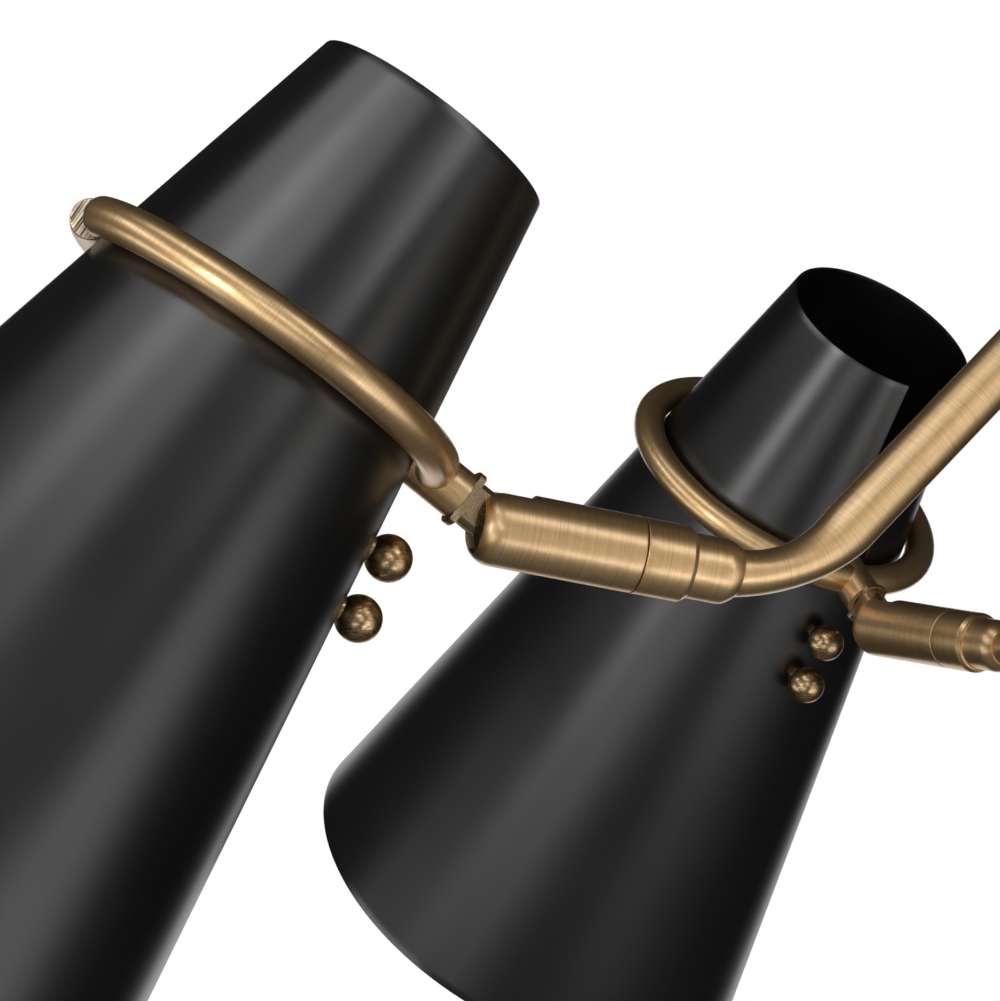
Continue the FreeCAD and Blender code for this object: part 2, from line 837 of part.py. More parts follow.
def make_crossbar():
    # A slotted strap for the ceiling box, with a boss that holds the downrod.
    half = crossbar_length / 2
    bar = block(
        FreeCAD.Vector(-half, -crossbar_width / 2, -crossbar_thickness),
        FreeCAD.Vector(half, crossbar_width / 2, 0),
    )
    corners = [edge for edge in bar.Edges if abs(edge.tangentAt(0).z) > 0.9]
    bar = bar.makeFillet(crossbar_width / 4, corners)
    boss_end = -crossbar_thickness - crossbar_boss_depth
    boss = rod(FreeCAD.Vector(0, 0, boss_end), z_axis, crossbar_boss_depth,
               crossbar_boss_diameter / 2)
    socket = rod(FreeCAD.Vector(0, 0, boss_end), z_axis, crossbar_boss_depth,
                 downrod_diameter / 2 + seat_clearance)
    wires = rod(FreeCAD.Vector(0, 0, -crossbar_thickness), z_axis, crossbar_thickness,
                downrod_bore / 2)
    cuts = [socket, wires]
    for side in (-1, 1):
        cuts.append(rod(
            FreeCAD.Vector(side * canopy_screw_spacing / 2, 0, -crossbar_thickness),
            z_axis,
            crossbar_thickness,
            screw_diameter / 2 + seat_clearance,
        ))
        cuts.extend(box_slot(side))
    return bar.fuse(boss).cut(cuts)


def box_slot(side):
    middle = side * box_slot_spacing / 2
    half_run = (box_slot_travel - box_slot_width) / 2
    radius = box_slot_width / 2
    ends = [
        rod(FreeCAD.Vector(middle + shift, 0, -crossbar_thickness), z_axis,
            crossbar_thickness, radius)
        for shift in (-half_run, half_run)
    ]
    run = block(
        FreeCAD.Vector(middle - half_run, -radius, -crossbar_thickness),
        FreeCAD.Vector(middle + half_run, radius, 0),
    )
    return ends + [run]


def lamp_pieces(lamp):
    number = lamp + 1
    return {
        f"arm_{number}": place_pivot(make_arm(), lamp),
        f"swivel_base_{number}": place_base(make_swivel_base(), lamp),
        f"barrel_{number}": place_barrel(make_barrel(), lamp),
        f"hinge_pin_{number}": place_barrel(make_hinge_pin(), lamp),
        f"tang_{number}": place_head(make_tang(), lamp),
        f"shade_ring_{number}": place_head(make_ring(), lamp),
        f"shade_{number}": place_head(make_shade(), lamp),
        f"ball_screws_{number}": place_head(make_ball_screws(), lamp),
        f"bracket_{number}": place_head(make_bracket(), lamp),
        f"lampholder_{number}": place_head(make_lampholder(), lamp),
    }


def at_hub(shape):
    shape.translate(FreeCAD.Vector(0, 0, hub_height))
    return shape


def all_pieces():
    pieces = {}
    for lamp in range(lamp_count):
        pieces.update(lamp_pieces(lamp))
    stop_screws = [place_base(make_stop_screw(), lamp) for lamp in range(lamp_count)]
    pieces["stop_screws"] = Part.makeCompound(stop_screws)
    pieces["hub"] = at_hub(make_hub())
    pieces["hub_cap"] = at_hub(make_hub_cap())
    pieces["arm_ferrules"] = at_hub(make_ferrules())
    pieces["downrod_coupling"] = at_hub(make_coupling())
    pieces["downrod"] = make_downrod()
    pieces["canopy"] = make_canopy()
    pieces["canopy_screws"] = make_canopy_screws()
    pieces["crossbar"] = make_crossbar()
    return pieces


def main():
    os.makedirs("parts", exist_ok=True)
    for name, shape in all_pieces().items():
        shape.exportStep(f"parts/{name}.step")
        print(name, "solids", len(shape.Solids), "valid", shape.isValid(),
              "volume", round(shape.Volume, 1))


if __name__ == "__main__":
    main()
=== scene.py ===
import json
import math
import bmesh
import bpy
import numpy as np
from mathutils import Matrix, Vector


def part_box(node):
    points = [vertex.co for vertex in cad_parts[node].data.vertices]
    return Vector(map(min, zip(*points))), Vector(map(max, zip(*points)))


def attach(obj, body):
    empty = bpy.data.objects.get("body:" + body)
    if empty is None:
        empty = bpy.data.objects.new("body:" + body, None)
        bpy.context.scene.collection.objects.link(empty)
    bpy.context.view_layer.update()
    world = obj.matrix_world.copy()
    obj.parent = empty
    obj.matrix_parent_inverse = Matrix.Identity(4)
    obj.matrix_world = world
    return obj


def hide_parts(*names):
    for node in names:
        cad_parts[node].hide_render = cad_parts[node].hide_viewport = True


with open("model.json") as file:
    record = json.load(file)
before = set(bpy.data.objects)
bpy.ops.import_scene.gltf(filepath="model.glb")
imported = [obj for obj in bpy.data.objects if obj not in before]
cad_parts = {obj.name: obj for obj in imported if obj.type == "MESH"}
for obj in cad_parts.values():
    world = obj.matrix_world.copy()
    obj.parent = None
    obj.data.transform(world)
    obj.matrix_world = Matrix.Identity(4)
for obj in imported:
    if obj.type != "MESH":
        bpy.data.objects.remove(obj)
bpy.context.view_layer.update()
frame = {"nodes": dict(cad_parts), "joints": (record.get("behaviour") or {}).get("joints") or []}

mm = 0.001
lampNumbers = [1, 2, 3, 4, 5]
joints = {joint["name"]: joint for joint in frame["joints"]}


# Places: a frame is an origin in metres and three unit axes, and shapes are worked out in millimetres

def unit(vector):
    vector = np.asarray(vector, float)
    return vector / np.linalg.norm(vector)


def makeFrame(origin, xAxis, yAxis):
    xAxis, yAxis = unit(xAxis), unit(yAxis)
    return {"origin": np.asarray(origin, float), "axes": np.array([xAxis, yAxis, np.cross(xAxis, yAxis)])}


def place(points, where):
    return where["origin"] + (np.asarray(points, float) * mm) @ where["axes"]


def barrelFrame(number):
    # X outwards along the barrel, Y along the hinge pin, as the two joints give them
    tilt = joints[f"lamp_tilt_{number}"]
    swivel = joints[f"lamp_swivel_{number}"]
    return makeFrame(tilt["pos_m"], -np.array(swivel["axis"]), -np.array(tilt["axis"]))


def headFrame(number):
    # the barrel's frame tilted up by the rest angle: X along the neck, Z up the shade's axis
    barrel = barrelFrame(number)
    angle = math.radians(-joints[f"lamp_tilt_{number}"]["range_deg"][0])
    xAxis, yAxis, zAxis = barrel["axes"]
    return makeFrame(barrel["origin"], math.cos(angle) * xAxis + math.sin(angle) * zAxis, yAxis)


def baseFrame(number):
    # as the barrel's, but not turned by the swivel: Y is level
    barrel = barrelFrame(number)
    x, y, _ = barrel["origin"]
    return makeFrame(barrel["origin"], barrel["axes"][0], [-y, x, 0])


def lampFrame(number):
    # upright at the pivot: X level and outwards
    x, y, z = barrelFrame(number)["origin"]
    return makeFrame([x, y, z], [x, y, 0], [-y, x, 0])


def uprightFrame(height):
    return makeFrame([0, 0, height * mm], [1, 0, 0], [0, 1, 0])


# Meshes

mergeDistance = 1e-7     # metres
smoothAngle = 35


def gridFaces(rows, columns, wrapRows):
    # each face joins four neighbours of a grid of rows by columns
    i, j = np.meshgrid(np.arange(rows if wrapRows else rows - 1), np.arange(columns - 1), indexing="ij")
    nextI = (i + 1) % rows
    corners = [i * columns + j, i * columns + j + 1, nextI * columns + j + 1, nextI * columns + j]
    uvRows = [i, i, i + 1, i + 1]
    uvColumns = [j, j + 1, j + 1, j]
    return [np.stack(part, -1).reshape(-1, 4) for part in (corners, uvRows, uvColumns)]


def buildPiece(name, points, brush, run, where, material, wrap=True):
    # a grid of points becomes a smooth mesh; brush holds each point's brush coordinates (across, side,
    # along), and run the length along the piece at each column
    rows, columns = points.shape[:2]
    corners, uvRow, uvColumn = gridFaces(rows, columns, wrap)
    mesh = bpy.data.meshes.new(name)
    mesh.from_pydata(place(points, where).reshape(-1, 3), [], corners)
    layer = mesh.uv_layers.new(name="lengthwise")
    layer.data.foreach_set("uv", np.stack([run[uvColumn] * mm, uvRow / rows], -1).ravel())
    lines = mesh.attributes.new("brush", "FLOAT_VECTOR", "POINT")
    lines.data.foreach_set("vector", brush.ravel())
    mesh.materials.append(material)
    piece = bpy.data.objects.new(name, mesh)
    bpy.context.scene.collection.objects.link(piece)
    closeUp(piece)
    smooth(piece)
    return piece


def closeUp(piece):
    # merge doubles and drop the faces that a pole leaves without area
    work = bmesh.new()
    work.from_mesh(piece.data)
    bmesh.ops.remove_doubles(work, verts=work.verts, dist=mergeDistance)
    bmesh.ops.dissolve_degenerate(work, edges=work.edges, dist=mergeDistance / 10)
    bmesh.ops.recalc_face_normals(work, faces=work.faces)
    work.to_mesh(piece.data)
    work.free()


def smooth(piece, sharpest=smoothAngle):
    piece.data.shade_smooth()
    piece.data.set_sharp_from_angle(angle=math.radians(sharpest))


def finishFaces(piece, material, where, choose):
    # faces chosen by their middles (millimetres) and normals, both in the given frame, get another finish
    mesh = piece.data
    count = len(mesh.polygons)
    middles, normals = np.empty(count * 3, np.float32), np.empty(count * 3, np.float32)
    slots = np.empty(count, np.int32)
    mesh.polygons.foreach_get("center", middles)
    mesh.polygons.foreach_get("normal", normals)
    mesh.polygons.foreach_get("material_index", slots)
    turn = where["axes"].T
    chosen = choose((middles.reshape(-1, 3) - where["origin"]) @ turn / mm, normals.reshape(-1, 3) @ turn)
    mesh.materials.append(material)
    slots[chosen] = len(mesh.materials) - 1
    mesh.polygons.foreach_set("material_index", slots)


def addBevel(piece, width, segments, angle):
    edge = piece.modifiers.new("edge", "BEVEL")
    edge.width = width * mm
    edge.segments = segments
    edge.limit_method = "ANGLE"
    edge.angle_limit = math.radians(angle)
    return edge


def breakEdges(piece, width, material):
    # sharp edges get a small bevel in a lighter, smoother finish: partly wear, partly a painted highlight
    # where edges catch the light
    piece.data.materials.append(material)
    edge = addBevel(piece, width, segments=2, angle=40)
    edge.material = len(piece.data.materials) - 1
    applyModifiers(piece)
    smooth(piece)


def applyModifiers(piece):
    bpy.context.view_layer.update()
    shaped = piece.evaluated_get(bpy.context.evaluated_depsgraph_get())
    mesh = bpy.data.meshes.new_from_object(shaped)
    piece.modifiers.clear()
    piece.data = mesh


def cutAway(piece, cutters):
    for cutter in cutters:
        step = piece.modifiers.new("cut", "BOOLEAN")
        step.operation = "DIFFERENCE"
        step.solver = "EXACT"
        step.object = cutter
    applyModifiers(piece)
    for cutter in cutters:
        bpy.data.objects.remove(cutter)


def blockPiece(name, low, high, where):
    # a plain block, used to cut slots and flats
    corners = np.stack(np.meshgrid(*zip(low, high), indexing="ij"), -1).reshape(-1, 3)
    sides = [(0, 1, 3, 2), (4, 6, 7, 5), (0, 4, 5, 1), (2, 3, 7, 6), (0, 2, 6, 4), (1, 5, 7, 3)]
    mesh = bpy.data.meshes.new(name)
    mesh.from_pydata(place(corners, where), [], sides)
    block = bpy.data.objects.new(name, mesh)
    bpy.context.scene.collection.objects.link(block)
    closeUp(block)
    return block


def roundedOutline(corners, steps=6):
    # corners are (along, radius, rounding): straight runs joined by arcs that touch both runs
    corners = [np.array(corner, float) for corner in corners]
    outline = [corners[0][:2]]
    for before, here, after in zip(corners, corners[1:], corners[2:]):
        rounding = here[2]
        if rounding <= 0:
            outline.append(here[:2])
            continue
        toBefore, toAfter = unit(before[:2] - here[:2]), unit(after[:2] - here[:2])
        half = math.acos(float(np.clip(toBefore @ toAfter, -1, 1))) / 2
        reach = rounding / math.tan(half)
        middle = here[:2] + unit(toBefore + toAfter) * rounding / math.sin(half)
        first = here[:2] + toBefore * reach - middle
        last = here[:2] + toAfter * reach - middle
        turn = math.acos(float(np.clip(unit(first) @ unit(last), -1, 1)))
        for share in np.linspace(0, 1, steps + 1):
            mix = (math.sin((1 - share) * turn) * first + math.sin(share * turn) * last) / math.sin(turn)
            outline.append(middle + mix)
    outline.append(corners[-1][:2])
    return np.array(outline)


def denser(outline, longest):
    # long runs are divided, so that no face is longer than this
    parts = [outline[:1]]
    for a, b in zip(outline[:-1], outline[1:]):
        count = max(1, math.ceil(np.linalg.norm(b - a) / longest))
        parts.append(a + (b - a) * np.linspace(0, 1, count + 1)[1:, None])
    return np.concatenate(parts)


def lengthAlong(line):
    # the distance walked from the first point to each point of a line
    return np.concatenate([[0], np.cumsum(np.linalg.norm(np.diff(line, axis=0), axis=1))])


def turned(name, outline, where, material, rounds=96, axis="x", longest=6.0):
    # the outline (along, radius) carried round the axis: across = radius * (cos a, sin a)
    outline = denser(np.asarray(outline, float), longest)
    angle = np.linspace(0, 2 * math.pi, rounds, endpoint=False)[:, None]
    across, side = outline[:, 1] * np.cos(angle), outline[:, 1] * np.sin(angle)
    length = np.broadcast_to(outline[:, 0], across.shape)
    points = np.stack([length, side, across] if axis == "x" else [across, side, length], -1)
    run = lengthAlong(outline)
    brush = np.stack([across, side, np.broadcast_to(run, across.shape)], -1)
    return buildPiece(name, points, brush, run, where, material)


capSteps = ((0.985, 0.12), (0.96, 0.2), (0.0, 0.2))      # a tube's rounded end: share of the section, way out


def tube(name, path, tangents, inPlane, sideways, where, material, rounds=64):
    # a path in the XZ plane with an oval section: centre + inPlane cos a * normal + sideways sin a * Y
    angle = np.linspace(0, 2 * math.pi, rounds, endpoint=False)[:, None, None]
    normals = np.stack([-tangents[:, 2], tangents[:, 1], tangents[:, 0]], -1)
    inPlane = np.broadcast_to(inPlane, len(path))[None, :, None] * np.cos(angle)
    sideways = np.broadcast_to(sideways, len(path))[None, :, None] * np.sin(angle)
    run = lengthAlong(path)
    points = path[None] + inPlane * normals[None] + sideways * np.array([0, 1, 0])
    brush = np.concatenate([inPlane, sideways, np.broadcast_to(run[None, :, None], inPlane.shape)], -1)
    # both ends close on their centres, over a small rounded edge
    ends, endBrushes = [], []
    for index, step in ((0, -1), (-1, 1)):
        centre = path[index]
        ring, rim = points[:, index] - centre, brush[:, index]
        ends.append(np.stack([centre + ring * s + tangents[index] * step * d for s, d in capSteps], 1))
        endBrushes.append(np.stack([rim * np.array([s, s, 1]) for s, d in capSteps], 1))
    points = np.concatenate([ends[0][:, ::-1], points, ends[1]], 1)
    brush = np.concatenate([endBrushes[0][:, ::-1], brush, endBrushes[1]], 1)
    run = np.concatenate([run[:1].repeat(3), run, run[-1:].repeat(3)])
    return buildPiece(name, points, brush, run, where, material)


def ball(name, centre, radius, axis, where, material, rounds=48):
    # a sphere whose brush lines run round the given axis
    upAxis = unit(axis)
    xAxis = unit(np.cross([0, 1, 0], upAxis))
    yAxis = np.cross(upAxis, xAxis)
    theta = np.linspace(0, 2 * math.pi, rounds, endpoint=False)[:, None]
    phi = np.linspace(-math.pi / 2, math.pi / 2, rounds // 2 + 1)[None, :]
    a, b, c = np.cos(phi) * np.cos(theta), np.cos(phi) * np.sin(theta), np.sin(phi) + 0 * theta
    around = a[..., None] * xAxis + b[..., None] * yAxis + c[..., None] * upAxis
    brush = radius * np.stack([a, b, c], -1)
    return buildPiece(name, np.asarray(centre) + radius * around, brush, radius * phi[0], where, material)


def joined(name, pieces):
    # several closed shells become one piece
    with bpy.context.temp_override(
        active_object=pieces[0], selected_objects=pieces, selected_editable_objects=pieces
    ):
        bpy.ops.object.join()
    pieces[0].name = name
    pieces[0].data.name = name
    return pieces[0]


def fit(piece, body, node):
    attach(piece, body)
    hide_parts(node)


# Materials

def newMaterial(name):
    material = bpy.data.materials.new(name)
    material.use_nodes = True
    material.node_tree.nodes.clear()
    return material, material.node_tree.nodes, material.node_tree.links


def addNode(nodes, kind, **values):
    # values are sockets' names, or else the node's own settings
    node = nodes.new("ShaderNode" + kind)
    for key, value in values.items():
        if key in node.inputs:
            node.inputs[key].default_value = value
        else:
            setattr(node, key, value)
    return node


def finishWith(nodes, links, shader):
    output = addNode(nodes, "OutputMaterial")
    links.new(shader.outputs[0], output.inputs["Surface"])


def noise(nodes, links, vector, scale, detail=2.0, roughness=0.5):
    node = addNode(nodes, "TexNoise", Scale=scale, Detail=detail, Roughness=roughness)
    links.new(vector, node.inputs["Vector"])
    return node.outputs["Fac"]


def stretched(nodes, links, vector, scale):
    node = addNode(nodes, "Mapping", Scale=scale)
    links.new(vector, node.inputs["Vector"])
    return node.outputs["Vector"]


def millimetres(nodes, links):
    # the piece's own coordinates, in millimetres
    texture = addNode(nodes, "TexCoord")
    return stretched(nodes, links, texture.outputs["Object"], (1000, 1000, 1000))


def ramp(nodes, links, factor, stops):
    node = addNode(nodes, "ValToRGB")
    elements = node.color_ramp.elements
    while len(elements) < len(stops):
        elements.new(0.5)
    for element, (position, colour) in zip(elements, stops):
        element.position = position
        element.color = (*colour, 1)
    links.new(factor, node.inputs["Fac"])
    return node.outputs["Color"]


def mathNode(nodes, links, operation, a, b):
    node = addNode(nodes, "Math", operation=operation)
    for socket, value in zip(node.inputs, (a, b)):
        if isinstance(value, float):
            socket.default_value = value
        else:
            links.new(value, socket)
    return node.outputs[0]


def mixColour(nodes, links, factor, under, over):
    # the colour under gives way to the colour over as the factor rises
    node = addNode(nodes, "Mix", data_type="RGBA")
    links.new(factor, node.inputs[0])
    links.new(under, node.inputs[6])
    node.inputs[7].default_value = (*over, 1)
    return node.outputs[2]


def rangeNode(nodes, links, value, low, high, outLow, outHigh):
    node = addNode(nodes, "MapRange")
    links.new(value, node.inputs["Value"])
    for name, number in (("From Min", low), ("From Max", high), ("To Min", outLow), ("To Max", outHigh)):
        node.inputs[name].default_value = number
    return node.outputs["Result"]


def bumped(nodes, links, height, strength, distance, shader):
    bump = addNode(nodes, "Bump", Strength=strength, Distance=distance)
    links.new(height, bump.inputs["Height"])
    links.new(bump.outputs["Normal"], shader.inputs["Normal"])


agedBrass = {
    "bright": (0.92, 0.64, 0.33),
    "middle": (0.80, 0.52, 0.24),
    "dark": (0.50, 0.30, 0.12),
    "steps": (0.30, 0.47, 0.68),     # where dark, middle and bright stand in the grain
    "edgeTint": (0.80, 0.66, 0.50),
    "roughness": (0.38, 0.44),
    "anisotropic": 0.1,
    "grain": (0.05, 0.05, 9.0),      # per millimetre: across twice, then along
    "depth": 0.10,
    "bands": 0.35,                   # how far broad bands calm the fine lines
    "mottle": 0.22,                  # how dark the stains get
    "scuff": (0.22, 0.22, 0.30),     # the stains' grain, per millimetre
    "lacquer": 0.8,
    "lacquerRoughness": 0.24,
    "lacquerIndex": 1.7,
    "coords": "brush",
}


def makeBrass(name, **changes):
    # fine brush lines run round the piece: the noise is stretched across them, with a soft patina over it
    look = {**agedBrass, **changes}
    material, nodes, links = newMaterial(name)
    if look["coords"] == "brush":
        attribute = addNode(nodes, "Attribute", attribute_name="brush", attribute_type="GEOMETRY")
        source = attribute.outputs["Vector"]
    else:
        source = millimetres(nodes, links)
    across, along = look["grain"][0], look["grain"][2]
    bandGrain = (across * 2, across * 2, along * 0.15)
    fine = noise(nodes, links, stretched(nodes, links, source, look["grain"]), 1.0, 3.0, 0.65)
    broad = noise(nodes, links, stretched(nodes, links, source, bandGrain), 1.0)
    scuff = noise(nodes, links, stretched(nodes, links, source, look["scuff"]), 1.0, 4.0, 0.6)
    tones = [look[tone] for tone in ("dark", "middle", "bright")]
    lines = ramp(nodes, links, fine, list(zip(look["steps"], tones)))
    calm = rangeNode(nodes, links, broad, 0.3, 0.7, 0.0, look["bands"])
    base = mixColour(nodes, links, calm, lines, look["middle"])
    stain = rangeNode(nodes, links, scuff, 0.50, 0.76, 0.0, look["mottle"])
    colour = mixColour(nodes, links, stain, base, look["dark"])
    rough = rangeNode(nodes, links, fine, 0.25, 0.75, look["roughness"][1], look["roughness"][0])
    shader = addNode(nodes, "BsdfPrincipled", Metallic=1.0)
    shader.inputs["Specular Tint"].default_value = (*look["edgeTint"], 1)
    shader.inputs["Coat Weight"].default_value = look["lacquer"]
    shader.inputs["Coat Roughness"].default_value = look["lacquerRoughness"]
    shader.inputs["Coat IOR"].default_value = look["lacquerIndex"]
    if look["coords"] == "brush":
        shader.inputs["Anisotropic"].default_value = look["anisotropic"]
        tangent = addNode(nodes, "Tangent", direction_type="UV_MAP", uv_map="lengthwise")
        links.new(tangent.outputs["Tangent"], shader.inputs["Tangent"])
    links.new(colour, shader.inputs["Base Color"])
    links.new(rough, shader.inputs["Roughness"])
    bumped(nodes, links, fine, look["depth"], 0.00006, shader)
    finishWith(nodes, links, shader)
    return material


satinBlack = {
    "paint": (0.0025, 0.0025, 0.0025),
    "dusty": (0.0040, 0.0039, 0.0038),
    "roughness": (0.28, 0.32),
    "specular": 1.0,
    "grain": 2.2,      # per millimetre
    "cloud": 0.018,    # the slow change, per millimetre
    "depth": 0.10,
}


def makePaint(name, **changes):
    # satin paint: a very fine orange peel, and a slow change of tone and gloss over it
    look = {**satinBlack, **changes}
    material, nodes, links = newMaterial(name)
    source = millimetres(nodes, links)
    peel = noise(nodes, links, source, look["grain"], 2.0, 0.6)
    slow = noise(nodes, links, source, look["cloud"], 3.0, 0.55)
    colour = ramp(nodes, links, slow, [(0.35, look["paint"]), (0.7, look["dusty"])])
    rough = rangeNode(nodes, links, slow, 0.3, 0.7, look["roughness"][0], look["roughness"][1])
    shader = addNode(nodes, "BsdfPrincipled")
    shader.inputs["Specular IOR Level"].default_value = look["specular"]
    links.new(colour, shader.inputs["Base Color"])
    links.new(rough, shader.inputs["Roughness"])
    bumped(nodes, links, peel, look["depth"], 0.00005, shader)
    finishWith(nodes, links, shader)
    return material


brass = makeBrass("agedBrushedBrass")
# a lighter brass for edge bevels: wear and a painted highlight
edgeWearAndHighlightBrass = makeBrass(
    "edgeWearAndHighlight", bright=(0.98, 0.86, 0.64), middle=(0.95, 0.78, 0.52), dark=(0.75, 0.55, 0.32),
    roughness=(0.2, 0.3), grain=(1.5, 1.5, 1.5), coords="object",
)
milledBrass = makeBrass(
    "milledBrass", bright=(0.62, 0.46, 0.29), middle=(0.42, 0.30, 0.17), dark=(0.22, 0.15, 0.08),
    steps=(0.36, 0.50, 0.64), roughness=(0.34, 0.5), grain=(3.4, 3.4, 3.4), depth=0.4,
    bands=0.1, lacquer=0.3, coords="object",
)
turnedBrass = makeBrass(
    "turnedBrass", bright=(0.80, 0.56, 0.30), middle=(0.55, 0.36, 0.17), dark=(0.16, 0.10, 0.05),
    grain=(0.9, 0.9, 3.0), depth=0.3, mottle=0.8, coords="object",
)
# a near-black brass for the barrel's nose: painted shade
paintedNoseShadeBrass = makeBrass(
    "paintedNoseShade", bright=(0.42, 0.29, 0.15), middle=(0.15, 0.10, 0.05), dark=(0.04, 0.025, 0.015),
    steps=(0.36, 0.50, 0.66), roughness=(0.35, 0.55), grain=(2.2, 2.2, 2.2), depth=0.6,
    bands=0.1, lacquer=0.3, coords="object",
)
ballBrass = makeBrass(
    "patinaBrass", bright=(0.84, 0.58, 0.30), middle=(0.52, 0.33, 0.15), dark=(0.08, 0.05, 0.025),
    steps=(0.34, 0.50, 0.66), roughness=(0.25, 0.42), grain=(0.6, 0.6, 2.0), depth=0.35,
    mottle=0.8, lacquer=0.5, coords="object",
)
sawnBrass = makeBrass(
    "sawnBrass", bright=(0.97, 0.86, 0.66), middle=(0.60, 0.45, 0.28), dark=(0.10, 0.06, 0.04),
    steps=(0.42, 0.50, 0.58), roughness=(0.35, 0.55), grain=(1.9, 0.04, 0.04), depth=0.8,
    bands=0.0, mottle=0.1, lacquer=0.2, anisotropic=0.0,
)
paint = makePaint("satinBlackPaint")
phenolic = makePaint("blackMoulding", paint=(0.012, 0.011, 0.010), grain=1.2)
steel = makeBrass(
    "blackenedSteel", bright=(0.3, 0.28, 0.25), middle=(0.2, 0.18, 0.16), dark=(0.08, 0.07, 0.06),
    grain=(0.8, 0.8, 2.0), depth=0.3, lacquer=0.0, coords="object",
)
print("materials made")


# Arm: a straight end in the base, a flattened bend, and the long straight up to the hub

hubSize = {
    "radius": 32.0, "height": -357.0, "wall": 3.0,
    "lowest": -67, "highest": 84,     # latitudes, in degrees, where the wiring hole and the rod's hole begin
}
armSize = {
    "diameter": 14.1, "endDiameter": 12.8, "bendRadius": 39.8, "bendStart": 56.6, "socket": 6.1,
    "slope": 45.0, "intoHub": 4.0,
    "flattening": 1.15,     # the bend is this much thinner in its plane, each side
    "widening": 0.3,
}


def armOval(share):
    # half widths in and across the bend's plane: the drawn end swells to full size, flat in the middle
    eased = share * share * (3 - 2 * share)
    radius = (armSize["endDiameter"] + (armSize["diameter"] - armSize["endDiameter"]) * eased) / 2
    bulge = np.sin(math.pi * share)
    return radius - armSize["flattening"] * bulge, radius + armSize["widening"] * bulge


def barrelSlope(number):
    return math.asin(barrelFrame(number)["axes"][0][2])


def makeArm(number):
    # a straight end, an arc of the bend's radius, and a straight that meets the hub
    size = armSize
    where, slope = lampFrame(number), barrelSlope(number)
    bend = slope + math.radians(size["slope"])
    inwards = np.array([-math.cos(slope), 0, -math.sin(slope)])
    upwards = np.array([-math.sin(slope), 0, math.cos(slope)])
    centre = inwards * size["bendStart"] + upwards * size["bendRadius"]
    turn = np.linspace(0, bend, 40)[:, None]
    arc = centre + size["bendRadius"] * (inwards * np.sin(turn) - upwards * np.cos(turn))
    arcWay = inwards * np.cos(turn) + upwards * np.sin(turn)
    reach = np.linalg.norm(where["origin"][:2]) / mm
    rise = (reach + arc[-1, 0]) / math.cos(math.radians(size["slope"])) - hubSize["radius"] + size["intoHub"]
    start = inwards * (size["bendStart"] - size["socket"])
    straight = arc[-1] + arcWay[-1] * np.linspace(0, rise, 60)[1:, None]
    path = np.concatenate([start[None], arc, straight])
    way = np.concatenate([inwards[None], arcWay, np.repeat(arcWay[-1:], len(straight), 0)])
    inPlane, sideways = armOval(np.concatenate([[0], turn[:, 0] / bend, np.ones(len(straight))]))
    return tube(f"armTube{number}", path, way, inPlane, sideways, where, brass, rounds=80)


# Swivel base: collar and sleeve, turned, and a shoulder filed down to the arm's oval

baseSize = {
    "seam": 35.3, "collar": 13.3, "chamferLong": 1.3, "chamferDeep": 0.8, "diameter": 19.1,
    "sleeveDiameter": 16.4, "sleeve": 8.9, "shoulder": 4.0, "lip": 0.3, "inside": 5.6,
    "rounding": 0.3,
    "filing": 1.7,                # the shoulder's curve: 1 is straight, more is fuller
    "rim": 0.15, "wall": 1.0,     # steps inwards of the mouth's flat end
}


def makeBase(number):
    # rings of half widths (upright, sideways) about a centre that leaves the axis along the shoulder
    size = baseSize
    radius, sleeve = size["diameter"] / 2, size["sleeveDiameter"] / 2
    collarEnd = -size["seam"] - size["collar"]
    sleeveEnd = collarEnd - size["sleeve"]
    outline = denser(roundedOutline([
        (-size["seam"], size["inside"], 0),
        (-size["seam"], radius, size["rounding"]),
        (collarEnd + size["chamferLong"], radius, size["rounding"]),
        (collarEnd, radius - size["chamferDeep"], 0.2),
        (collarEnd, sleeve, 0.12),
        (sleeveEnd, sleeve, 0),
    ]), 3.0)
    mouth = sleeveEnd - size["shoulder"]
    bend = barrelSlope(number) + math.radians(armSize["slope"])
    mouthTurn = math.asin((-mouth - armSize["bendStart"]) / armSize["bendRadius"])
    inPlane, across = (width + size["lip"] for width in armOval(mouthTurn / bend))
    lift = armSize["bendRadius"] * (1 - math.cos(mouthTurn))
    share = np.linspace(0, 1, 13)[1:]
    drop = share ** size["filing"]
    along = np.concatenate([outline[:, 0], sleeveEnd - size["shoulder"] * share, [mouth, mouth]])
    upright, sideways = (
        np.concatenate([
            outline[:, 1], sleeve + (half - sleeve) * drop, [half - size["rim"], half - size["wall"]],
        ])
        for half in (inPlane, across)
    )
    rise = np.concatenate([0 * outline[:, 0], lift * drop, [lift, lift]])
    angle = np.linspace(0, 2 * math.pi, 144, endpoint=False)[:, None]
    points = np.stack([along + 0 * angle, sideways * np.sin(angle), rise + upright * np.cos(angle)], -1)
    run = np.concatenate([[0], np.cumsum(np.hypot(np.diff(along), np.diff(upright)))])
    brush = np.stack([upright * np.cos(angle), sideways * np.sin(angle), run + 0 * angle], -1)
    return buildPiece(f"swivelBase{number}", points, brush, run, baseFrame(number), brass)


# Barrel: a turned body with a rounded nose, and the fork's slot milled into it

barrelSize = {
    "diameter": 19.1, "front": 7.6, "seam": 35.0, "seamRound": 0.35, "nose": 6.0,
    "slotWidth": 8.3, "slotReach": 7.5, "floor": 6.15, "edge": 0.2,
    "noseShadeReach": 1.4,     # how far back the nose gets the near-black finish: painted shade
}
flush = 0.02            # faces within this of a plane, in millimetres, lie in it
squarely = 0.95         # a normal's share along an axis, from which a face counts as square to it


